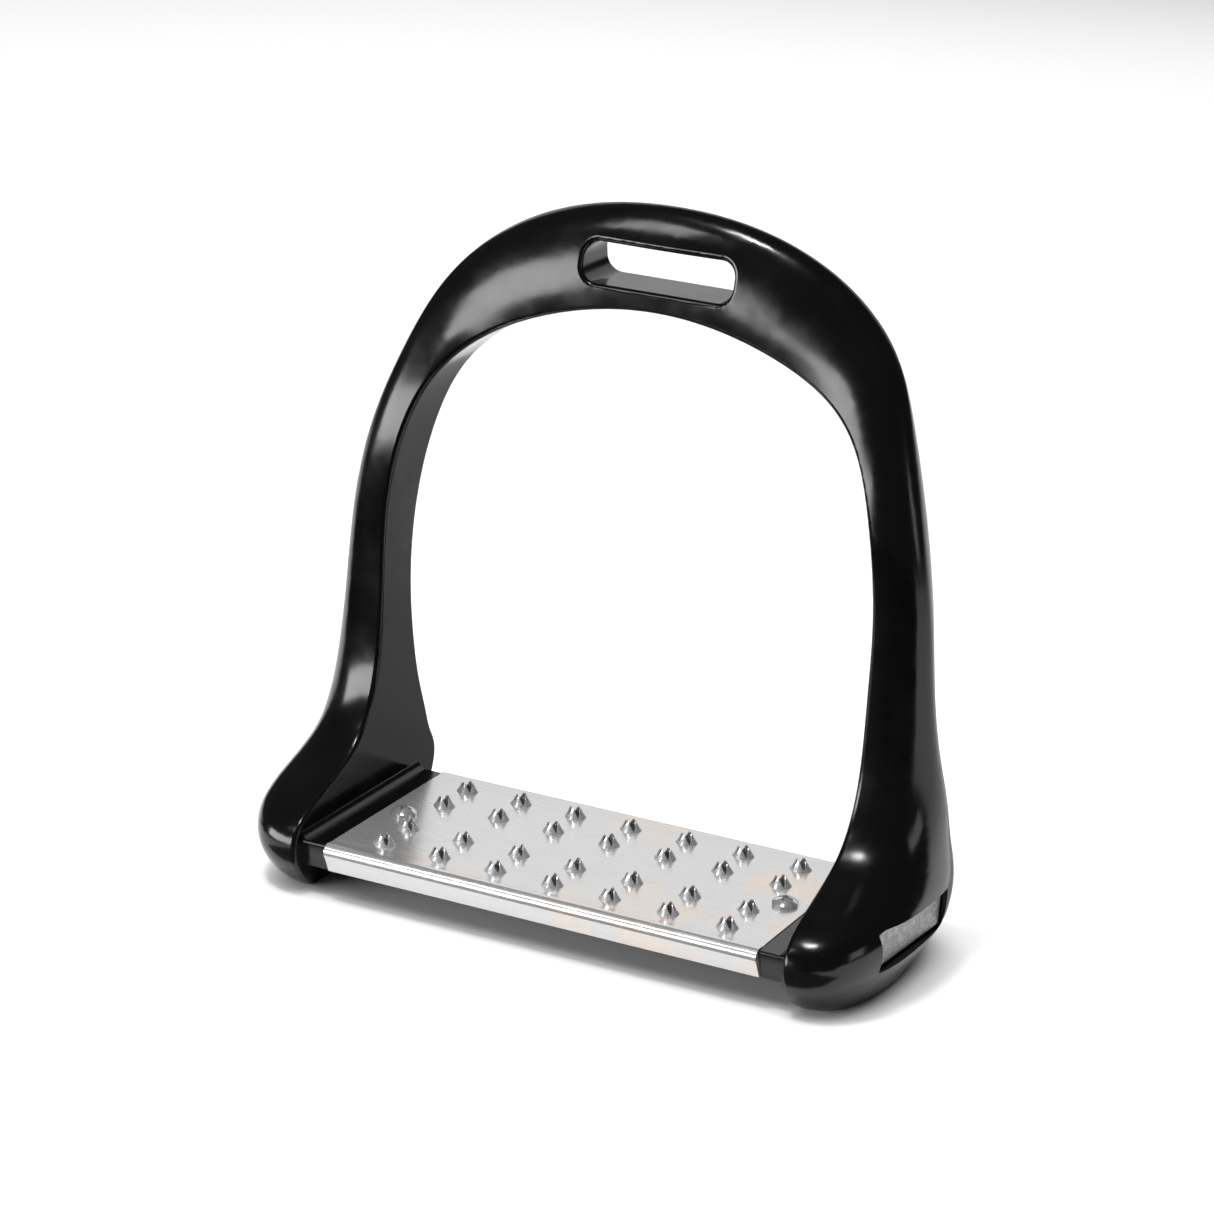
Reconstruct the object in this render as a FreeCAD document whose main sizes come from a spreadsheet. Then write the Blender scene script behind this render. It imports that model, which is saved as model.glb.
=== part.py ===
import FreeCAD, Part
import math
import os
import Sketcher

# Riding stirrup iron: a one-piece cast bow with two broad feet and a platform between them,
# a folded steel tread plate with raised gripping burrs, two screws and two side inlays.
# +X runs along the tread, +Y to the back, +Z up; the origin is the centre of the floor contact.

os.makedirs("parts", exist_ok=True)
doc = FreeCAD.newDocument("stirrup_iron")
sheet = doc.addObject("Spreadsheet::Sheet", "Sizes")

SIZES = {
    # bow opening
    "inner_half_width": 60.0, "spring_height": 74.0,
    "side_arc_radius": 110.0, "side_arc_turn": 16.0,
    "shoulder_radius": 34.0, "shoulder_end_angle": 60.0,
    "bow_edge_radius": 1.2,
    # platform between the feet
    "platform_top": 13.8, "platform_height": 7.0,
    "platform_top_front": -29.6, "platform_top_back": 24.0, "platform_side_slope": 2.4,
    "platform_overlap": 4.0, "platform_edge_radius": 0.6,
    "platform_cove": 2.4, "cove_sink": 0.06,
    # leather slot
    "slot_width": 36.5, "slot_height": 9.0, "slot_level": 144.2, "slot_corner_radius": 3.6,
    "slot_mouth_radius": 1.0,
    # how far cutting tools run past what they cut
    "cutter_reach": 60.0, "cutter_overrun": 1.0, "deep_overrun": 10.0,
    # tread plate
    "tread_level": 14.0, "tread_half_length": 53.4, "tread_thickness": 1.2,
    "tread_front": -31.2, "tread_back": 25.6, "tread_lip_height": 6.8, "tread_lip_slope": 2.4,
    "tread_nose_radius": 1.8, "tread_clearance": 0.05,
    # burrs punched in the tread plate
    "burr_pitch": 14.2, "burr_columns": 7, "outer_row": 19.0, "inner_row": 8.2,
    "tread_middle": -3.0,
    "burr_height": 2.4, "burr_base_radius": 2.6, "burr_waist_radius": 1.85,
    "burr_waist_level": 0.96, "burr_rim_drop": 0.4,
    "burr_crown_radius": 1.4, "burr_bore_radius": 0.95, "burr_notch_width": 0.7,
    "burr_notch_depth": 1.6,
    # screws
    "screw_reach": 48.0, "screw_line": -4.0, "screw_head_radius": 2.95, "screw_head_height": 1.9,
    "screw_shank_radius": 2.0, "screw_shank_length": 7.0, "screw_recess_width": 0.85,
    "screw_recess_length": 3.7, "screw_recess_depth": 1.3, "screw_dome_radius": 4.2,
    "screw_clearance_radius": 2.25,
    # inlays on the outer faces of the feet
    "inlay_length": 30.0, "inlay_height": 8.1, "inlay_thickness": 0.8, "inlay_corner": 0.8,
    "inlay_offset": 75.8, "inlay_line": -2.2, "inlay_level": 14.4,
    "inlay_turn": 3.2, "inlay_tilt": -3.0, "pocket_margin": 0.6, "pocket_reach": 12.0,
}

# Sections of the bow from the sole of a foot up to the crown.
# Level is a height above the floor for the foot and leg and the angle of the inner face's
# normal for the arch. Front, back and crest are places along Y, depth is how far the section
# stands out from the inner face, and step is how far a sole section starts outside that face.
# Fullness swells the section's diagonals beyond an ellipse, which makes the feet boxier.
STATIONS = [
    # name, level, front, back, depth, crest, step, fullness
    ("sole", 0.0, -19.0, 17.0, 10.2, 0.0, 1.6, 0.05),
    ("sole_curve", 1.4, -25.2, 22.6, 13.4, 0.0, 0.5, 0.06),
    ("welt", 5.5, -29.6, 27.2, 16.1, 1.0, 0.0, 0.08),
    ("foot_low", 10.2, -31.8, 30.4, 18.5, 2.0, 0.0, 0.08),
    ("foot_high", 15.6, -30.6, 31.9, 19.4, 2.5, 0.0, 0.08),
    ("instep", 21.4, -21.2, 29.6, 18.7, 9.0, 0.0, 0.08),
    ("ankle", 28.4, -6.0, 26.6, 17.4, 13.5, 0.0, 0.05),
    ("shin", 37.0, 0.8, 23.2, 16.5, 14.2, 0.0, 0.02),
    ("leg_low", 47.0, 3.6, 20.5, 15.0, 12.8, 0.0, 0.0),
    ("leg_high", 62.0, 4.7, 18.4, 13.1, 11.4, 0.0, 0.0),
]
ARCH_STATIONS = [
    ("spring", 2.0, 5.1, 19.4, 11.7, 11.0, 0.0, 0.0),
    ("side", 14.0, 6.3, 22.8, 10.5, 12.2, 0.0, 0.0),
    ("shoulder", 30.0, 9.2, 25.4, 11.3, 15.8, 0.0, 0.0),
    ("haunch", 50.0, 12.8, 28.2, 15.9, 20.8, 0.0, 0.0),
    ("shoulder_top", 70.0, 14.6, 29.6, 21.3, 23.5, 0.0, 0.0),
    ("crown", 90.0, 15.0, 29.6, 22.4, 23.5, 0.0, 0.0),
]
STATION_FIELDS = ("level", "front", "back", "depth", "crest", "step", "fullness")
CURVE_POINTS = 13

SIDES = ((-1, "Left"), (1, "Right"))
NOTCH_ANGLES = (45, 135)
# An edge is level across an axis when its box is thinner than this along it.
LEVEL_WITHIN = 0.01
# Room left round the slot mouth when its edges are picked out, and how deep they may curve.
MOUTH_ROOM = 0.1
MOUTH_CURVE = 3.0
# The folded sheet keeps less than this share of its solid blank.
LARGEST_HOLLOWED_SHARE = 0.6


def fill_sheet():
    cells = dict(SIZES)
    for station in STATIONS + ARCH_STATIONS:
        for field, value in zip(STATION_FIELDS, station[1:]):
            cells[f"{station[0]}_{field}"] = value
    for row, (alias, value) in enumerate(cells.items(), start=1):
        sheet.set(f"A{row}", alias.replace("_", " "))
        sheet.set(f"B{row}", str(value))
        sheet.setAlias(f"B{row}", alias)
    doc.recompute()


def size(alias):
    return float(sheet.get(alias))


def bind(item, **expressions):
    for name, expression in expressions.items():
        item.setExpression(name.replace("__", "."), expression)


def fixed_shape(name, shape):
    feature = doc.addObject("Part::Feature", name)
    feature.Shape = shape
    return feature


def boolean(kind, name, base, tool):
    item = doc.addObject(kind, name)
    item.Base = base
    item.Tool = tool
    return item


def arch_point(angle):
    """Point of the bow's inner face where its normal stands at this angle above level."""
    half_width = size("inner_half_width")
    side_radius = size("side_arc_radius")
    shoulder_radius = size("shoulder_radius")
    side_turn = math.radians(size("side_arc_turn"))
    crown_start = math.radians(size("shoulder_end_angle"))
    turn = math.radians(angle)
    along = min(turn, side_turn)
    x = half_width - side_radius * (1 - math.cos(along))
    z = size("spring_height") + side_radius * math.sin(along)
    if turn > side_turn:
        along = min(turn, crown_start)
        x -= shoulder_radius * (math.cos(side_turn) - math.cos(along))
        z += shoulder_radius * (math.sin(along) - math.sin(side_turn))
    if turn > crown_start:
        crown_radius = x / math.cos(crown_start)
        x -= crown_radius * (math.cos(crown_start) - math.cos(turn))
        z += crown_radius * (math.sin(turn) - math.sin(crown_start))
    return x, z


def section_wire(name, on_arch, side):
    """Closed section of the bow: a flat inner side, two small edge radii and a crowned back."""
    front = size(f"{name}_front")
    back = size(f"{name}_back")
    depth = size(f"{name}_depth")
    crest = size(f"{name}_crest")
    fullness = size(f"{name}_fullness")
    radius = size("bow_edge_radius")
    angle = size(f"{name}_level") if on_arch else 0.0
    x, z = arch_point(angle) if on_arch else (size("inner_half_width"), size(f"{name}_level"))
    x += size(f"{name}_step")
    out_x = math.cos(math.radians(angle))
    out_z = math.sin(math.radians(angle))

    def place(y, out):
        return FreeCAD.Vector(side * (x + out * out_x), y, z + out * out_z)

    def corner(y_flat, y_side):
        y_middle = y_flat + (y_side - y_flat) * math.sin(math.pi / 4)
        return Part.Arc(place(y_flat, 0), place(y_middle, radius * (1 - math.cos(math.pi / 4))),
                        place(y_side, radius)).toShape()

    crowned = []
    marks = [step / (CURVE_POINTS - 1) for step in range(CURVE_POINTS)]
    for mark in marks:
        turn = math.pi * (mark - 0.5)
        reach = crest - front if turn < 0 else back - crest
        swell = 1 + fullness * math.sin(2 * turn) ** 2
        crowned.append(place(crest + reach * swell * math.sin(turn),
                             radius + (depth - radius) * swell * math.cos(turn)))
    curve = Part.BSplineCurve()
    outward = (place(0, 1) - place(0, 0)) * math.pi * (depth - radius)
    curve.interpolate(Points=crowned, Parameters=marks, InitialTangent=outward,
                      FinalTangent=outward * -1)
    flat = Part.LineSegment(place(back - radius, 0), place(front + radius, 0)).toShape()
    return Part.Wire([flat, corner(front + radius, front), curve.toShape(),
                      corner(back - radius, back).reversed()])


def make_bow():
    wires = [section_wire(item[0], False, 1) for item in STATIONS]
    wires += [section_wire(item[0], True, 1) for item in ARCH_STATIONS]
    wires += [section_wire(item[0], True, -1) for item in reversed(ARCH_STATIONS[:-1])]
    wires += [section_wire(item[0], False, -1) for item in reversed(STATIONS)]
    sections = [fixed_shape(f"BowSection{number:02d}", wire) for number, wire in enumerate(wires)]
    bow = doc.addObject("Part::Loft", "Bow")
    bow.Sections = sections
    bow.Solid = True
    bow.Ruled = False
    return bow


def channel_outline(front, back, top, height, slope):
    """Corners of a bar's cross-section whose front and back faces lean inwards going down."""
    return [(front, top), (back, top), (back - slope, top - height), (front + slope, top - height)]


def side_sketch(body, name, corners):
    """Closed polygon sketch on the body's YZ plane from (y, z) corners."""
    sketch = body.newObject("Sketcher::SketchObject", name)
    plane = [item for item in body.Origin.OriginFeatures if item.Role == "YZ_Plane"][0]
    sketch.AttachmentSupport = [(plane, "")]
    sketch.MapMode = "FlatFace"
    count = len(corners)
    for index in range(count):
        start = FreeCAD.Vector(*corners[index], 0)
        end = FreeCAD.Vector(*corners[(index + 1) % count], 0)
        sketch.addGeometry(Part.LineSegment(start, end), False)
    for index in range(count):
        sketch.addConstraint(Sketcher.Constraint("Coincident", index, 2, (index + 1) % count, 1))
    return sketch


def bind_channel(sketch, front, back, top, height, slope):
    """Tie a four-cornered channel sketch to the sheet: level top and foot, sloping sides."""
    sketch.addConstraint(Sketcher.Constraint("Horizontal", 0))
    sketch.addConstraint(Sketcher.Constraint("Horizontal", 2))
    places = [
        ("DistanceX", 0, 1, front), ("DistanceX", 0, 2, back), ("DistanceY", 0, 1, top),
        ("DistanceX", 2, 1, f"{back} - ({slope})"), ("DistanceX", 3, 1, f"{front} + ({slope})"),
        ("DistanceY", 2, 1, f"{top} - ({height})"),
    ]
    for kind, edge, point, expression in places:
        value = sketch.evalExpression(expression)
        row = sketch.addConstraint(Sketcher.Constraint(kind, -1, 1, edge, point, float(value)))
        sketch.setExpression(f"Constraints[{row}]", expression)


def channel_sketch(body, name, front, back, top, height, slope):
    """Cross-section of the platform, the sheet or its hollow, tied to the sheet of sizes."""
    values = [float(body.evalExpression(text)) for text in (front, back, top, height, slope)]
    sketch = side_sketch(body, f"{name}Outline", channel_outline(*values))
    bind_channel(sketch, front, back, top, height, slope)
    return sketch


def symmetric_pad(body, name, sketch, length):
    pad = body.newObject("PartDesign::Pad", name)
    pad.Profile = sketch
    pad.SideType = "Symmetric"
    pad.setExpression("Length", length)
    doc.recompute()
    return pad


def long_edges(shape, test):
    """Names of the edges along X whose mid-point meets the test."""
    names = []
    for number, edge in enumerate(shape.Edges, start=1):
        box = edge.BoundBox
        if max(box.YLength, box.ZLength) < LEVEL_WITHIN and test(box.Center):
            names.append(f"Edge{number}")
    return names


def round_edges(body, name, base, edges, radius):
    fillet = body.newObject("PartDesign::Fillet", name)
    fillet.Base = (base, edges)
    fillet.setExpression("Radius", radius)
    doc.recompute()
    return fillet


def make_platform():
    body = doc.addObject("PartDesign::Body", "Platform")
    sketch = channel_sketch(body, "Platform", "Sizes.platform_top_front",
                          "Sizes.platform_top_back", "Sizes.platform_top",
                          "Sizes.platform_height", "Sizes.platform_side_slope")
    pad = symmetric_pad(body, "PlatformBar", sketch,
                        "2 * (Sizes.inner_half_width + Sizes.platform_overlap)")
    edges = long_edges(pad.Shape, lambda centre: True)
    round_edges(body, "PlatformEdges", pad, edges, "Sizes.platform_edge_radius")
    return body


def block(name, length, width, height):
    """Box whose three sizes follow the sheet."""
    box = doc.addObject("Part::Box", name)
    bind(box, Length=length, Width=width, Height=height)
    return box


def cylinder(name, radius, height):
    rod = doc.addObject("Part::Cylinder", name)
    bind(rod, Radius=radius, Height=height)
    return rod


def part_fillet(name, base, alias, test):
    """Round every edge of the base whose bounding box meets the test."""
    doc.recompute()
    chosen = [number for number, edge in enumerate(base.Shape.Edges, start=1)
              if test(edge.BoundBox)]
    fillet = doc.addObject("Part::Fillet", name)
    fillet.Base = base
    fillet.Edges = [(number, size(alias), size(alias)) for number in chosen]
    return fillet


def make_cove(name, side):
    """Filler with a hollow round face between the platform's top and the inside of one leg.

    The hollow is sunk a little into the corner, so that it crosses both faces cleanly.
    """
    filler = block(f"{name}Filler", "Sizes.platform_cove + Sizes.cutter_overrun",
                   "Sizes.platform_top_back - Sizes.platform_top_front "
                   "- 2 * Sizes.platform_edge_radius",
                   "Sizes.platform_cove + Sizes.cutter_overrun")
    corner_x = f"{side} * (Sizes.inner_half_width - Sizes.platform_cove)"
    shift = f"{int(side < 0)} * (Sizes.platform_cove + Sizes.cutter_overrun)"
    bind(filler, Placement__Base__x=f"{corner_x} - {shift}",
         Placement__Base__y="Sizes.platform_top_front + Sizes.platform_edge_radius",
         Placement__Base__z="Sizes.platform_top - Sizes.cutter_overrun")
    hollow = cylinder(f"{name}Hollow", "Sizes.platform_cove", "2 * Sizes.cutter_reach")
    hollow.Placement.Rotation = FreeCAD.Rotation(FreeCAD.Vector(1, 0, 0), -90)
    bind(hollow, Placement__Base__x=f"{corner_x} + {side} * Sizes.cove_sink",
         Placement__Base__y="-Sizes.cutter_reach",
         Placement__Base__z="Sizes.platform_top + Sizes.platform_cove - Sizes.cove_sink")
    return boolean("Part::Cut", name, filler, hollow)


def make_slot_tool():
    """Rounded bar that cuts the leather slot from front to back."""
    bar = block("SlotBar", "Sizes.slot_width", "Sizes.cutter_reach", "Sizes.slot_height")
    bind(bar, Placement__Base__x="-Sizes.slot_width / 2",
         Placement__Base__z="Sizes.slot_level - Sizes.slot_height / 2")
    return part_fillet("SlotTool", bar, "slot_corner_radius",
                       lambda box: box.YLength > LEVEL_WITHIN)


def make_seat_tool():
    """Bar that lowers the platform's top by the thickness of the tread plate."""
    seat = block("SeatTool", "2 * (Sizes.tread_half_length + Sizes.tread_clearance)",
                 "Sizes.cutter_reach * 2", "Sizes.tread_thickness + Sizes.cutter_overrun")
    bind(seat, Placement__Base__x="-Sizes.tread_half_length - Sizes.tread_clearance",
         Placement__Base__y="-Sizes.cutter_reach",
         Placement__Base__z="Sizes.tread_level - Sizes.tread_thickness")
    return seat


def make_sole_tool():
    """Block under the floor line that leaves each foot a flat sole."""
    sole = block("SoleTool", "4 * Sizes.inner_half_width", "Sizes.cutter_reach * 2",
                 "Sizes.deep_overrun")
    bind(sole, Placement__Base__x="-2 * Sizes.inner_half_width",
         Placement__Base__y="-Sizes.cutter_reach", Placement__Base__z="-Sizes.deep_overrun")
    return sole


def make_screw_hole(name, side, radius):
    """Round hole right through the platform or the plate at one screw."""
    hole = cylinder(name, radius, "Sizes.tread_level + Sizes.deep_overrun")
    bind(hole, Placement__Base__x=f"{side} * Sizes.screw_reach",
         Placement__Base__y="Sizes.screw_line")
    return hole


def inlay_placement(side):
    """Place of the pocket's floor on a foot's outer face, turned and tilted with that face."""
    across = FreeCAD.Rotation(FreeCAD.Vector(0, 0, 1), -side * size("inlay_turn"))
    lean = FreeCAD.Rotation(FreeCAD.Vector(0, 1, 0), -side * size("inlay_tilt"))
    turn = across.multiply(lean)
    if side < 0:
        turn = turn.multiply(FreeCAD.Rotation(FreeCAD.Vector(0, 0, 1), 180))
    middle = FreeCAD.Vector(side * size("inlay_offset"), size("inlay_line"), size("inlay_level"))
    return FreeCAD.Placement(middle, turn)


def centred_tile(name, thickness, length, height, alias):
    """Tile lying against X = 0 with rounded corners, centred in Y and Z."""
    tile = block(f"{name}Block", thickness, length, height)
    bind(tile, Placement__Base__y=f"-({length}) / 2", Placement__Base__z=f"-({height}) / 2")
    return part_fillet(name, tile, alias,
                       lambda box: max(box.YLength, box.ZLength) < LEVEL_WITHIN)


def make_pocket_tool(name, side):
    tool = centred_tile(name, "Sizes.pocket_reach", "Sizes.inlay_length + 2 * Sizes.pocket_margin",
                        "Sizes.inlay_height + 2 * Sizes.pocket_margin", "inlay_corner")
    tool.Placement = inlay_placement(side)
    return tool


def make_inlay(name, side):
    inlay = centred_tile(name, "Sizes.inlay_thickness", "Sizes.inlay_length",
                         "Sizes.inlay_height", "inlay_corner")
    inlay.Placement = inlay_placement(side)
    return inlay


def union(name, shapes):
    item = doc.addObject("Part::MultiFuse", name)
    item.Shapes = shapes
    return item


def make_frame():
    coves = [make_cove(f"{word}Cove", side) for side, word in SIDES]
    bow = make_bow()
    casting = union("Casting", [bow, make_platform()] + coves)
    doc.recompute()
    if casting.Shape.Volume < bow.Shape.Volume:
        raise RuntimeError("the casting lost its bow when the platform was joined to it")
    tools = [make_slot_tool(), make_seat_tool(), make_sole_tool()]
    for side, word in SIDES:
        tools.append(make_screw_hole(f"{word}TappedHole", side, "Sizes.screw_shank_radius"))
        tools.append(make_pocket_tool(f"{word}Pocket", side))
    machined = boolean("Part::Cut", "Machined", casting, union("CuttingTools", tools))
    half_width = size("slot_width") / 2
    half_height = size("slot_height") / 2
    level = size("slot_level")

    def at_mouth(box):
        across = half_width + MOUTH_ROOM
        up = half_height + MOUTH_ROOM
        inside = box.XMax < across and box.XMin > -across
        beside = box.ZMin > level - up and box.ZMax < level + up
        return inside and beside and box.YLength < MOUTH_CURVE

    return part_fillet("frame", machined, "slot_mouth_radius", at_mouth)


def make_burr_shape():
    """Punched burr: a flared volcano of torn sheet with a bore and four petals at its crown."""
    height = size("burr_height")
    base = FreeCAD.Vector(size("burr_base_radius"), 0, 0)
    waist = FreeCAD.Vector(size("burr_waist_radius"), 0, size("burr_waist_level"))
    crown = FreeCAD.Vector(size("burr_crown_radius"), 0, height)
    rim = FreeCAD.Vector(size("burr_bore_radius"), 0, height - size("burr_rim_drop"))
    root = FreeCAD.Vector(size("burr_bore_radius"), 0, -size("tread_thickness") / 2)
    foot = FreeCAD.Vector(size("burr_base_radius"), 0, -size("tread_thickness") / 2)
    flare = Part.Arc(base, waist, crown).toShape()
    rest = Part.makePolygon([crown, rim, root, foot, base])
    wall = Part.Face(Part.Wire([flare] + rest.Edges))
    burr = wall.revolve(FreeCAD.Vector(0, 0, 0), FreeCAD.Vector(0, 0, 1), 360)
    width = size("burr_notch_width")
    span = 2 * size("burr_base_radius")
    for angle in NOTCH_ANGLES:
        notch = Part.makeBox(span, width, size("burr_notch_depth") + size("cutter_overrun"))
        notch.translate(FreeCAD.Vector(-span / 2, -width / 2, height - size("burr_notch_depth")))
        notch.rotate(FreeCAD.Vector(0, 0, 0), FreeCAD.Vector(0, 0, 1), angle)
        burr = burr.cut(notch)
    return burr


def burr_places():
    columns = int(size("burr_columns"))
    rows = (-size("outer_row"), -size("inner_row"), size("inner_row"), size("outer_row"))
    places = []
    for column in range(columns):
        x = (column - (columns - 1) / 2) * size("burr_pitch")
        places += [FreeCAD.Vector(x, size("tread_middle") + row, size("tread_level"))
                   for row in rows]
    return places


def copies(shape, places):
    placed = []
    for place in places:
        one = shape.copy()
        one.translate(place)
        placed.append(one)
    return placed


def make_tread_plate():
    """Steel sheet folded down over the front and back of the platform, with its burrs."""
    body = doc.addObject("PartDesign::Body", "FoldedSheet")
    outer = channel_sketch(body, "Sheet", "Sizes.tread_front", "Sizes.tread_back",
                         "Sizes.tread_level", "Sizes.tread_lip_height",
                         "Sizes.tread_lip_slope")
    pad = symmetric_pad(body, "SheetBlank", outer, "2 * Sizes.tread_half_length")
    level = size("tread_level")
    edges = long_edges(pad.Shape, lambda centre: centre.z > level - LEVEL_WITHIN)
    nose = round_edges(body, "SheetNoses", pad, edges, "Sizes.tread_nose_radius")
    inner = channel_sketch(body, "Hollow", "Sizes.tread_front + Sizes.tread_thickness",
                         "Sizes.tread_back - Sizes.tread_thickness",
                         "Sizes.tread_level - Sizes.tread_thickness",
                         "Sizes.tread_lip_height", "Sizes.tread_lip_slope")
    hollow = body.newObject("PartDesign::Pocket", "SheetHollow")
    hollow.Profile = inner
    hollow.SideType = "Symmetric"
    hollow.setExpression("Length", "2 * (Sizes.tread_half_length + Sizes.cutter_overrun)")
    doc.recompute()
    if hollow.Shape.Volume > nose.Shape.Volume * LARGEST_HOLLOWED_SHARE:
        raise RuntimeError("the underside of the tread sheet wasn't hollowed out")
    places = burr_places()
    bore = Part.makeCylinder(size("burr_bore_radius"), 4 * size("tread_thickness"),
                             FreeCAD.Vector(0, 0, -2 * size("tread_thickness")))
    burrs = fixed_shape("Burrs", Part.makeCompound(copies(make_burr_shape(), places)))
    bores = fixed_shape("BurrBores", Part.makeCompound(copies(bore, places)))
    holes = [make_screw_hole(f"{word}ClearanceHole", side, "Sizes.screw_clearance_radius")
             for side, word in SIDES]
    drilled = boolean("Part::Cut", "DrilledSheet", body, union("SheetHoles", holes + [bores]))
    return union("tread_plate", [drilled, burrs])


def make_screw(name, side):
    """Pan-head screw: plain shank, domed head and a cross recess."""
    shank = cylinder(f"{name}_shank", "Sizes.screw_shank_radius",
                     "Sizes.screw_shank_length + Sizes.screw_head_height / 2")
    bind(shank, Placement__Base__z="-Sizes.screw_shank_length")
    blank = cylinder(f"{name}_blank", "Sizes.screw_head_radius", "Sizes.screw_head_height")
    dome = doc.addObject("Part::Sphere", f"{name}_dome")
    bind(dome, Radius="Sizes.screw_dome_radius",
         Placement__Base__z="Sizes.screw_head_height - Sizes.screw_dome_radius")
    head = boolean("Part::Common", f"{name}_head", blank, dome)
    arms = []
    for number, (length, width) in enumerate((("length", "width"), ("width", "length"))):
        arm = block(f"{name}_arm{number}", f"Sizes.screw_recess_{length}",
                    f"Sizes.screw_recess_{width}", "Sizes.screw_recess_depth + Sizes.cutter_overrun")
        bind(arm, Placement__Base__x=f"-Sizes.screw_recess_{length} / 2",
             Placement__Base__y=f"-Sizes.screw_recess_{width} / 2",
             Placement__Base__z="Sizes.screw_head_height - Sizes.screw_recess_depth")
        arms.append(arm)
    screw = boolean("Part::Cut", name, union(f"{name}_solid", [head, shank]),
                    union(f"{name}_recess", arms))
    bind(screw, Placement__Base__x=f"{side} * Sizes.screw_reach",
         Placement__Base__y="Sizes.screw_line", Placement__Base__z="Sizes.tread_level")
    return screw


def check_and_write(parts):
    doc.recompute()
    for item in doc.Objects:
        if "Invalid" in item.State or "Error" in item.State:
            raise RuntimeError(f"{item.Name} failed to recompute: {item.State}")
    for name, part in parts.items():
        part.Label = name
        if part.Shape.isNull() or not part.Shape.isValid() or not part.Shape.Solids:
            raise RuntimeError(f"{name} has no valid solid")
    for name, part in parts.items():
        part.Shape.exportStep(f"parts/{name}.step")
        box = part.Shape.BoundBox
        print(f"{name}: {len(part.Shape.Solids)} solid, {part.Shape.Volume:.0f} mm3, "
              f"X {box.XMin:.2f} {box.XMax:.2f} Y {box.YMin:.2f} {box.YMax:.2f} "
              f"Z {box.ZMin:.2f} {box.ZMax:.2f}")


fill_sheet()
check_and_write({
    "frame": make_frame(),
    "tread_plate": make_tread_plate(),
    "left_screw": make_screw("left_screw", -1),
    "right_screw": make_screw("right_screw", 1),
    "left_inlay": make_inlay("left_inlay", -1),
    "right_inlay": make_inlay("right_inlay", 1),
})
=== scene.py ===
import math
import random

import bmesh
import bpy
from mathutils import Matrix, Quaternion, Vector


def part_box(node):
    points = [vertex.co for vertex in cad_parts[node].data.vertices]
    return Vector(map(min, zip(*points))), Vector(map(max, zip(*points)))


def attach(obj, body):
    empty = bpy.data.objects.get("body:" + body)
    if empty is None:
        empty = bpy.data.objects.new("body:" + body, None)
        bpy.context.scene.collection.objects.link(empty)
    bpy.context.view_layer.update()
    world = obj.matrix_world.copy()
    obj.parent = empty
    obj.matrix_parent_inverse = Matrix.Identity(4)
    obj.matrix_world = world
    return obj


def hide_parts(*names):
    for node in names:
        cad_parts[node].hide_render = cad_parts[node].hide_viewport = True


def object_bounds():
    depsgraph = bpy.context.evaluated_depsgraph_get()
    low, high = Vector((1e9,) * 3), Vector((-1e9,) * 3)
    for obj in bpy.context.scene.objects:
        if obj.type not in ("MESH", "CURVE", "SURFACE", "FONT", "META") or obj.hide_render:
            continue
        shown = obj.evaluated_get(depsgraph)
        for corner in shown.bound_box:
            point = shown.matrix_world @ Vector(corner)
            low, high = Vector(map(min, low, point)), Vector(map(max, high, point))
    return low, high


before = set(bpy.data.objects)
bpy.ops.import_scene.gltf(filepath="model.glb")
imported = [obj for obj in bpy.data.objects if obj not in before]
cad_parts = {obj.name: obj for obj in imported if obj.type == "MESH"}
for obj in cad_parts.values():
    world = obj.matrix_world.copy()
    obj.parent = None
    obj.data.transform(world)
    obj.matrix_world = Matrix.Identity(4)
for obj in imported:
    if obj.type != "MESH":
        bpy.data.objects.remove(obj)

cad_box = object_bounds()
MM = 0.001

# ---- Studio ----------------------------------------------------------------------------------
# A pale table with a long lens set a little above the tread and to its right, with a slight roll.
# Light comes from small lamps overhead, a low panel in front on the left, a panel behind and a
# faint one on the right, with a soft fill from the ceiling that reflections miss.
# A black card round the front and two grey ones beside the tread, which only reflections
# see, keep the enamel deep and give the steel lip its grey.
centre = (cad_box[0] + cad_box[1]) / 2
camera_azimuth = math.radians(26.53)
camera_elevation = math.radians(18.91)
camera_roll = math.radians(2.5)
camera_distance = 863.7 * MM
aim = centre + Vector((-7.3, 13.6, -11.9)) * MM


def linear(code):
    """Linear RGBA of an sRGB hex colour."""
    channels = [int(code[start:start + 2], 16) / 255 for start in (1, 3, 5)]
    return tuple(c / 12.92 if c <= 0.04045 else ((c + 0.055) / 1.055) ** 2.4
                 for c in channels) + (1.0,)


def add(tree, kind, inputs=None, **settings):
    """Add a node with its settings; each input gets a value or another node's output."""
    node = tree.nodes.new(kind)
    for name, value in settings.items():
        setattr(node, name, value)
    for name, source in (inputs or {}).items():
        if isinstance(source, bpy.types.NodeSocket):
            tree.links.new(source, node.inputs[name])
        else:
            node.inputs[name].default_value = source
    return node


def new_material(name):
    """Material with an empty tree; the shader is linked by finish_material."""
    material = bpy.data.materials.new(name)
    material.use_nodes = True
    material.node_tree.nodes.clear()
    return material, material.node_tree


def finish_material(tree, shader):
    output = add(tree, "ShaderNodeOutputMaterial")
    tree.links.new(shader.outputs["BSDF"], output.inputs["Surface"])


def link_object(name, data):
    thing = bpy.data.objects.new(name, data)
    bpy.context.scene.collection.objects.link(thing)
    return thing


def shade(mesh, smooth_angle):
    """Smooth shading, except over edges sharper than the angle in degrees."""
    mesh.shade_smooth()
    mesh.set_sharp_from_angle(angle=math.radians(smooth_angle))


def mesh_object(name, shape, material, smooth_angle=35):
    """Object at the origin from a bmesh."""
    mesh = bpy.data.meshes.new(name)
    shape.to_mesh(mesh)
    shape.free()
    shade(mesh, smooth_angle)
    mesh.materials.append(material)
    return link_object(name, mesh)


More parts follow.
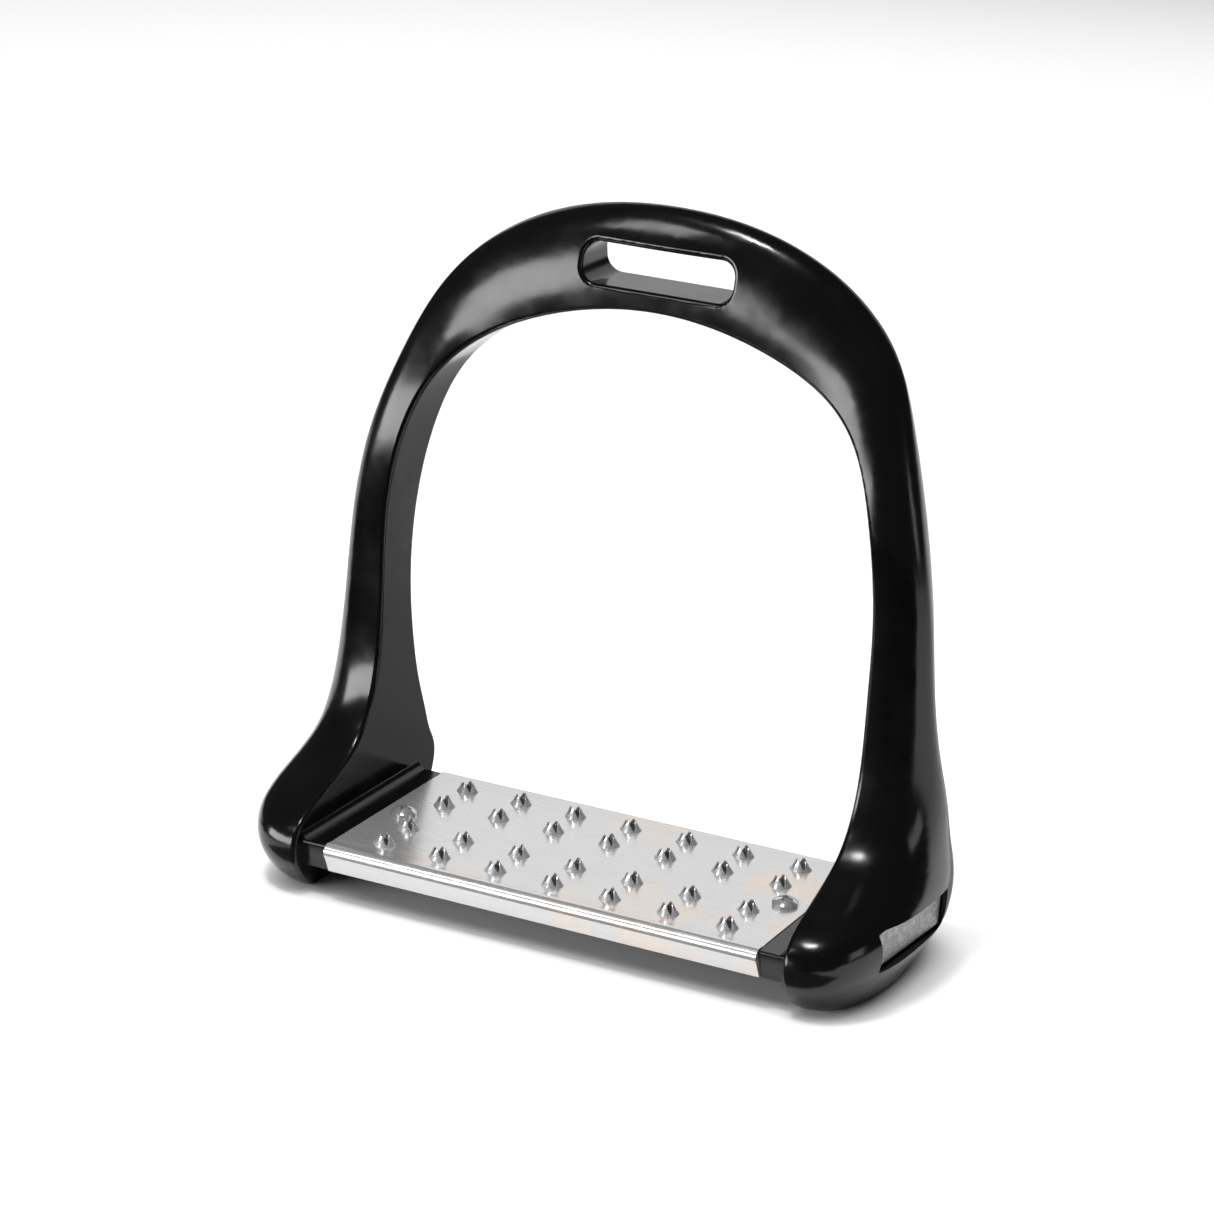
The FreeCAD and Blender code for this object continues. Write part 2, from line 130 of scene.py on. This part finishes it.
back = Vector((math.sin(camera_azimuth) * math.cos(camera_elevation),
               -math.cos(camera_azimuth) * math.cos(camera_elevation),
               math.sin(camera_elevation)))
lens = bpy.data.cameras.new("long_lens")
lens.sensor_width = 36.0
lens.lens = 114.6
camera = link_object("camera", lens)
camera.location = aim + back * camera_distance
camera.rotation_mode = "QUATERNION"
camera.rotation_quaternion = back.to_track_quat("Z", "Y") @ Quaternion((0, 0, 1), camera_roll)
bpy.context.scene.camera = camera
bpy.context.scene.view_settings.view_transform = "Standard"


def lamp(name, azimuth, elevation, distance, width, height, power, glossy=True):
    """Soft rectangular lamp on a sphere round the object, turned to its middle.

    Azimuth is measured from the front (-Y) towards +X.
    """
    turn, rise = math.radians(azimuth), math.radians(elevation)
    out = Vector((math.sin(turn) * math.cos(rise), -math.cos(turn) * math.cos(rise),
                  math.sin(rise)))
    data = bpy.data.lights.new(name, "AREA")
    data.shape = "RECTANGLE"
    data.size = width
    data.size_y = height
    data.energy = power
    light = link_object(name, data)
    light.location = centre + out * distance
    light.rotation_euler = out.to_track_quat("Z", "Y").to_euler()
    light.visible_glossy = glossy


lamp("ceiling_fill", 0, 88, 1.3, 1.6, 1.6, 30.0, glossy=False)
lamp("overhead_lamp", -20, 72, 1.0, 0.16, 0.10, 3.0)
lamp("left_key", -36, 44, 1.1, 0.22, 0.26, 1.5)
lamp("low_left_panel", -44, 5, 1.2, 1.1, 0.40, 13.5)
lamp("back_panel", 195, 24, 1.3, 1.8, 0.75, 3.8)
lamp("right_rim_panel", 84, 12, 1.1, 0.3, 0.4, 0.7)

world = bpy.data.worlds.new("dim_room")
world.use_nodes = True
room = world.node_tree
ray = add(room, "ShaderNodeLightPath")
pale = add(room, "ShaderNodeBackground", {"Color": linear("#f4f4f4"), "Strength": 1.0})
dim = add(room, "ShaderNodeBackground", {"Color": linear("#e6e9ee"), "Strength": 0.05})
mixed = add(room, "ShaderNodeMixShader", {0: ray.outputs["Is Camera Ray"],
                                          1: dim.outputs[0], 2: pale.outputs[0]})
room.links.new(mixed.outputs[0], room.nodes["World Output"].inputs["Surface"])
bpy.context.scene.world = world

TABLE_HALF = 6.0
shape = bmesh.new()
bmesh.ops.create_grid(shape, x_segments=1, y_segments=1, size=TABLE_HALF)
laminate, tree = new_material("matt white laminate")
finish_material(tree, add(tree, "ShaderNodeBsdfPrincipled",
                          {"Base Color": linear("#f8f8f8"), "Roughness": 0.9,
                           "Specular IOR Level": 0.1}))
table = mesh_object("table", shape, laminate)

# Black card lying in front, from the left round to the right.
CARD_INNER = 0.17
CARD_OUTER = 2.2
CARD_SEGMENTS = 72
CARD_BACK = 0.1
CARD_RIGHT = 1.0
CARD_LEVEL = 0.6 * MM
shape = bmesh.new()
bmesh.ops.create_circle(shape, segments=CARD_SEGMENTS, radius=CARD_INNER)
outer = bmesh.ops.extrude_edge_only(shape, edges=shape.edges[:])["geom"]
bmesh.ops.scale(shape, vec=(CARD_OUTER / CARD_INNER, CARD_OUTER / CARD_INNER, 1),
                verts=[item for item in outer if isinstance(item, bmesh.types.BMVert)])
spare = [face for face in shape.faces
         if face.calc_center_median().y > CARD_BACK
         or face.calc_center_median().x > CARD_RIGHT]
bmesh.ops.delete(shape, geom=spare, context="FACES")
bmesh.ops.translate(shape, vec=(0, 0, CARD_LEVEL), verts=shape.verts[:])


def hide_card(card):
    """Leave a card to the reflections only."""
    card.visible_camera = False
    card.visible_diffuse = False
    card.visible_shadow = False


def card_paper(name, colour):
    """Dead matt paper in one colour."""
    paper, tree = new_material(name)
    finish_material(tree, add(tree, "ShaderNodeBsdfPrincipled",
                              {"Base Color": linear(colour), "Roughness": 1.0,
                               "Specular IOR Level": 0.0}))
    return paper


hide_card(mesh_object("black_card", shape, card_paper("black card", "#020202")))

# Grey cards lying close in front of the tread and close behind it.
CARD_HALF_LENGTH = 90 * MM
GREY_CARD_LEVEL = 0.4 * MM
for name, near, far, colour in (("front_grey_card", -35 * MM, -165 * MM, "#505050"),
                                ("back_grey_card", 36 * MM, 220 * MM, "#9a9a9a")):
    shape = bmesh.new()
    bmesh.ops.create_grid(shape, x_segments=1, y_segments=1, size=1.0)
    bmesh.ops.scale(shape, vec=(CARD_HALF_LENGTH, abs(far - near) / 2, 1), verts=shape.verts[:])
    bmesh.ops.translate(shape, vec=(0, (near + far) / 2, GREY_CARD_LEVEL), verts=shape.verts[:])
    hide_card(mesh_object(name, shape, card_paper(name.replace("_", " "), colour)))

# ---- Frame casting ---------------------------------------------------------------------------
# The bow, both feet and the platform are one aluminium casting, ground smooth and stoved in
# gloss black enamel. The coat is thick and glassy: it shows a faint orange peel, and fine
# polishing haze that softens its reflections a little in patches.
PEEL = 2.4 * MM
HAZE = 14.0 * MM
DUST = 0.35 * MM
enamel, tree = new_material("stoved black enamel")
place = add(tree, "ShaderNodeTexCoord")
peel = add(tree, "ShaderNodeTexNoise", {"Vector": place.outputs["Object"], "Scale": 1 / PEEL,
                                        "Detail": 2.0, "Roughness": 0.45})
swell = add(tree, "ShaderNodeTexNoise", {"Vector": place.outputs["Object"], "Scale": 0.35 / PEEL,
                                         "Detail": 1.0})
coarse = add(tree, "ShaderNodeBump", {"Height": swell.outputs["Fac"], "Distance": 0.05 * MM,
                                      "Strength": 0.35})
bump = add(tree, "ShaderNodeBump", {"Height": peel.outputs["Fac"], "Distance": 0.012 * MM,
                                    "Strength": 0.6, "Normal": coarse.outputs["Normal"]})
haze = add(tree, "ShaderNodeTexNoise", {"Vector": place.outputs["Object"], "Scale": 1 / HAZE,
                                        "Detail": 4.0, "Roughness": 0.6})
gloss = add(tree, "ShaderNodeMapRange", {"Value": haze.outputs["Fac"], "From Min": 0.35,
                                         "From Max": 0.7, "To Min": 0.13, "To Max": 0.24})
dust = add(tree, "ShaderNodeTexVoronoi", {"Vector": place.outputs["Object"], "Scale": 0.16 / DUST},
           feature="F1")
speck = add(tree, "ShaderNodeMapRange", {"Value": dust.outputs["Distance"], "From Min": 0.03,
                                         "From Max": 0.06, "To Min": 1.0, "To Max": 0.0})
tone = add(tree, "ShaderNodeMix", {"Factor": speck.outputs["Result"], "A": linear("#070708"),
                                   "B": linear("#1d1d1f")}, data_type="RGBA")
finish_material(tree, add(tree, "ShaderNodeBsdfPrincipled", {
    "Base Color": tone.outputs["Result"], "Roughness": gloss.outputs["Result"], "IOR": 1.45,
    "Normal": bump.outputs["Normal"]}))
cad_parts["frame"].material_slots[0].material = enamel

# ---- Tread plate -----------------------------------------------------------------------------
# Stainless sheet 1.2 mm thick, lightly polished and folded down over the platform's front and
# back edges. The fold leaves a rounded nose with a shallow crease behind it, and two clearance
# holes take the screws.
plate_low, plate_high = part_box("tread_plate")
SHEET = 1.2 * MM
NOSE = 1.8 * MM
BULGE = 0.12 * MM
CREASE = 0.10 * MM
LIP_LEAN = 2.4 * MM
LIP = 6.8 * MM
SCREW_HOLE = 2.25 * MM
# Where the lip bends, as shares of its lean and height.
LIP_BEND = (0.33, 0.5)
# Turn of the nose in degrees, from just under it to the flat.
NOSE_START = -12
NOSE_END = 90
NOSE_STEPS = 8
# The crease behind the nose: distance from the edge in mm and share of the crease's depth.
CREASE_LINE = ((3.3, 0.2), (4.14, 1.0), (5.04, 0.3), (5.76, 0.0))
tread_top = 14.0 * MM
screws = [sum(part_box(name), Vector()) / 2 for name in ("left_screw", "right_screw")]


def nose_profile(edge, inward):
    """Half of the sheet's outline from the lip's foot over the nose to the flat, as (y, z)."""
    points = [(edge + inward * LIP_LEAN, tread_top - LIP),
              (edge + inward * LIP_LEAN * LIP_BEND[0], tread_top - LIP * LIP_BEND[1])]
    for step in range(NOSE_STEPS + 1):
        turn = math.radians(NOSE_START + (NOSE_END - NOSE_START) * step / NOSE_STEPS)
        points.append((edge + inward * NOSE * (1 - math.cos(turn)),
                       tread_top - NOSE + (NOSE + BULGE) * math.sin(turn)))
    points += [(edge + inward * away * MM, tread_top - CREASE * share)
               for away, share in CREASE_LINE]
    return points


# A fifth of the light it returns is matt, so the sheet stays pale from every side.
steel, tree = new_material("polished stainless sheet")
GRAIN = 0.22 * MM
place = add(tree, "ShaderNodeTexCoord")
along = add(tree, "ShaderNodeMapping", {"Vector": place.outputs["Object"],
                                        "Scale": (0.03, 1.0, 1.0)})
brush = add(tree, "ShaderNodeTexNoise", {"Vector": along.outputs["Vector"], "Scale": 1 / GRAIN,
                                         "Detail": 3.0, "Roughness": 0.7})
patch = add(tree, "ShaderNodeTexNoise", {"Vector": place.outputs["Object"],
                                         "Scale": 1 / (22 * MM), "Detail": 2.0})
wave = add(tree, "ShaderNodeTexNoise", {"Vector": place.outputs["Object"],
                                        "Scale": 1 / (9 * MM), "Detail": 2.0})
warm = add(tree, "ShaderNodeMapRange", {"Value": patch.outputs["Fac"], "From Min": 0.55,
                                        "From Max": 0.75, "To Min": 0.0, "To Max": 1.0})
tone = add(tree, "ShaderNodeMix", {"Factor": warm.outputs["Result"], "A": linear("#d4d4d4"),
                                   "B": linear("#e2d2c6")}, data_type="RGBA")
gloss = add(tree, "ShaderNodeMapRange", {"Value": brush.outputs["Fac"], "From Min": 0.3,
                                         "From Max": 0.7, "To Min": 0.16, "To Max": 0.30})
ripple = add(tree, "ShaderNodeBump", {"Height": wave.outputs["Fac"], "Distance": 0.10 * MM,
                                      "Strength": 0.3})
bump = add(tree, "ShaderNodeBump", {"Height": brush.outputs["Fac"], "Distance": 0.006 * MM,
                                    "Strength": 0.5, "Normal": ripple.outputs["Normal"]})
finish_material(tree, add(tree, "ShaderNodeBsdfPrincipled", {
    "Base Color": tone.outputs["Result"], "Metallic": 0.8,
    "Roughness": gloss.outputs["Result"], "Normal": bump.outputs["Normal"]}))

BURR_PITCH = 14.2 * MM
BURR_COLUMNS = 7
BURR_ROWS = [-19.0 * MM, -8.2 * MM, 8.2 * MM, 19.0 * MM]
BURR_MIDDLE = -3.0 * MM
BORE = 1.7 * MM
burr_places = [Vector(((column - (BURR_COLUMNS - 1) / 2) * BURR_PITCH, BURR_MIDDLE + row,
                       tread_top))
               for column in range(BURR_COLUMNS) for row in BURR_ROWS]

outline = nose_profile(plate_low.y, 1)
outline += reversed(nose_profile(plate_high.y, -1))
shape = bmesh.new()
verts = [shape.verts.new((plate_low.x, y, z)) for y, z in outline]
edges = [shape.edges.new(pair) for pair in zip(verts, verts[1:])]
swept = bmesh.ops.extrude_edge_only(shape, edges=edges)["geom"]
bmesh.ops.translate(shape, vec=(plate_high.x - plate_low.x, 0, 0),
                    verts=[item for item in swept if isinstance(item, bmesh.types.BMVert)])
bmesh.ops.recalc_face_normals(shape, faces=shape.faces[:])
if max(shape.faces, key=lambda face: face.calc_area()).normal.z < 0:
    bmesh.ops.reverse_faces(shape, faces=shape.faces[:])
bmesh.ops.solidify(shape, geom=shape.faces[:], thickness=SHEET)
sheet = mesh_object("tread_sheet", shape, steel)

shape = bmesh.new()
drills = [(place, BORE) for place in burr_places]
drills += [(Vector((middle.x, middle.y, tread_top)), SCREW_HOLE) for middle in screws]
for place, radius in drills:
    bmesh.ops.create_cone(shape, cap_ends=True, segments=32, radius1=radius, radius2=radius,
                          depth=4 * SHEET, matrix=Matrix.Translation(place))
drill = mesh_object("drill", shape, steel)
cut = sheet.modifiers.new("drilled", "BOOLEAN")
cut.object = drill
cut.solver = "EXACT"
bpy.context.view_layer.update()
drilled = bpy.data.meshes.new_from_object(
    sheet.evaluated_get(bpy.context.evaluated_depsgraph_get()))
sheet.modifiers.clear()
sheet.data = drilled
shade(drilled, smooth_angle=20)
bpy.data.objects.remove(drill)
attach(sheet, "root")

# ---- Burrs -----------------------------------------------------------------------------------
# A four-sided punch driven up from below tears the sheet along its diagonals and bends four
# pointed petals up round a hole. No two tear alike, and the torn metal is bright and drawn thin.
BURR_BASE = 2.65 * MM
BURR_CROWN = 1.35 * MM
BURR_HEIGHT = 2.4 * MM
PETAL_SHEET = 0.34 * MM
PETAL_RINGS = 7
PETAL_COLUMNS = 6
PETAL_HALF_ANGLE = math.radians(46)
# How much one petal differs from the next: height, tip width, crown radius and turn.
TOP_RANGE = (0.88, 1.0)
TIP_RANGE = (0.16, 0.26)
CROWN_RANGE = (0.92, 1.08)
TURN_RANGE = (-0.05, 0.05)
# A petal keeps its width up to the waist and then tapers; it flares out to its root.
WAIST = 0.12
TAPER = 0.9
FLARE = 2.2
FLARE_SHARE = 0.45
CUPPING = 0.10
ROOT_SINK = 0.06 * MM
burr_steel, tree = new_material("torn bright steel")
place = add(tree, "ShaderNodeTexCoord")
score = add(tree, "ShaderNodeTexNoise", {"Vector": place.outputs["Object"],
                                         "Scale": 1 / (0.5 * MM), "Detail": 3.0})
bump = add(tree, "ShaderNodeBump", {"Height": score.outputs["Fac"], "Distance": 0.03 * MM,
                                    "Strength": 0.5})
gloss = add(tree, "ShaderNodeMapRange", {"Value": score.outputs["Fac"], "From Min": 0.3,
                                         "From Max": 0.7, "To Min": 0.20, "To Max": 0.36})
finish_material(tree, add(tree, "ShaderNodeBsdfPrincipled", {
    "Base Color": linear("#d6d6d8"), "Metallic": 0.7, "Roughness": gloss.outputs["Result"],
    "Normal": bump.outputs["Normal"]}))
tear = random.Random(7)
shape = bmesh.new()
for place in burr_places:
    for quarter in range(4):
        top = BURR_HEIGHT * tear.uniform(*TOP_RANGE)
        tip = tear.uniform(*TIP_RANGE)
        lean = BURR_CROWN * tear.uniform(*CROWN_RANGE)
        middle = math.pi / 2 * quarter + tear.uniform(*TURN_RANGE)
        petal = bmesh.ops.create_grid(shape, x_segments=PETAL_COLUMNS, y_segments=PETAL_RINGS,
                                      size=1.0)["verts"]
        for vert in petal:
            across, up = vert.co.x, (vert.co.y + 1) / 2
            narrow = 1 - (1 - tip) * max(0.0, (up - WAIST) / (1 - WAIST)) ** TAPER
            turn = middle + PETAL_HALF_ANGLE * across * narrow
            flare = (1 - up) ** FLARE
            spread = (1 - FLARE_SHARE) * (1 - up) + FLARE_SHARE * flare
            radius = lean + (BURR_BASE - lean) * spread
            radius *= 1 - CUPPING * (across * narrow) ** 2
            height = top * up ** TAPER - ROOT_SINK * (1 - up)
            vert.co = place + Vector((radius * math.cos(turn), radius * math.sin(turn), height))
        faces = list({face for vert in petal for face in vert.link_faces})
        bmesh.ops.recalc_face_normals(shape, faces=faces)
        outward = Vector((math.cos(middle), math.sin(middle), 0))
        if sum(face.normal.dot(outward) for face in faces) < 0:
            bmesh.ops.reverse_faces(shape, faces=faces)
        bmesh.ops.solidify(shape, geom=faces, thickness=PETAL_SHEET)
burrs = mesh_object("burrs", shape, burr_steel, smooth_angle=50)
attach(burrs, "root")
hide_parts("tread_plate")
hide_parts("tread_plate")

# ---- Screws ----------------------------------------------------------------------------------
# Two chrome-plated pan-head machine screws with a pressed cross recess. The plating is mirror
# bright, with fine turning marks and a few driver scuffs.
chrome, tree = new_material("bright chrome plate")
place = add(tree, "ShaderNodeTexCoord")
scuff = add(tree, "ShaderNodeTexNoise", {"Vector": place.outputs["Object"],
                                         "Scale": 1 / (0.6 * MM), "Detail": 4.0})
bump = add(tree, "ShaderNodeBump", {"Height": scuff.outputs["Fac"], "Distance": 0.02 * MM,
                                    "Strength": 0.4})
gloss = add(tree, "ShaderNodeMapRange", {"Value": scuff.outputs["Fac"], "From Min": 0.35,
                                         "From Max": 0.7, "To Min": 0.12, "To Max": 0.26})
finish_material(tree, add(tree, "ShaderNodeBsdfPrincipled", {
    "Base Color": linear("#d6d6d8"), "Metallic": 0.8, "Roughness": gloss.outputs["Result"],
    "Normal": bump.outputs["Normal"]}))
for name in ("left_screw", "right_screw"):
    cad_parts[name].material_slots[0].material = chrome

# ---- Side inlays -----------------------------------------------------------------------------
# Thin silver plates glued into a pocket in each foot's outer face. The face is etched to a
# fine random grain. Its grey speckle is partly that grain's own tone and partly painted sparkle.
SPARKLE = 0.2 * MM
etched, tree = new_material("etched silver aluminium")
place = add(tree, "ShaderNodeTexCoord")
grain = add(tree, "ShaderNodeTexVoronoi", {"Vector": place.outputs["Object"],
                                           "Scale": 1 / SPARKLE}, feature="F1")
cloud = add(tree, "ShaderNodeTexNoise", {"Vector": place.outputs["Object"],
                                         "Scale": 1 / (1.6 * MM), "Detail": 3.0})
parts = add(tree, "ShaderNodeSeparateColor", {"Color": grain.outputs["Color"]})
mixed = add(tree, "ShaderNodeMath", {0: parts.outputs[0], 1: cloud.outputs["Fac"]},
            operation="MULTIPLY")
tone = add(tree, "ShaderNodeMapRange", {"Value": mixed.outputs[0], "From Min": 0.0,
                                        "From Max": 0.6, "To Min": 0.0, "To Max": 1.0})
# Grey speckle in the colour: the grain's own tone, with its light grains painted in as sparkle.
colour = add(tree, "ShaderNodeMix", {"Factor": tone.outputs["Result"], "A": linear("#5c5c5e"),
                                     "B": linear("#b0b0b2")}, data_type="RGBA")
bump = add(tree, "ShaderNodeBump", {"Height": parts.outputs[1], "Distance": 0.04 * MM,
                                    "Strength": 0.8})
finish_material(tree, add(tree, "ShaderNodeBsdfPrincipled", {
    "Base Color": colour.outputs["Result"], "Metallic": 0.85, "Roughness": 0.42,
    "Normal": bump.outputs["Normal"]}))
for name in ("left_inlay", "right_inlay"):
    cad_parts[name].material_slots[0].material = etched
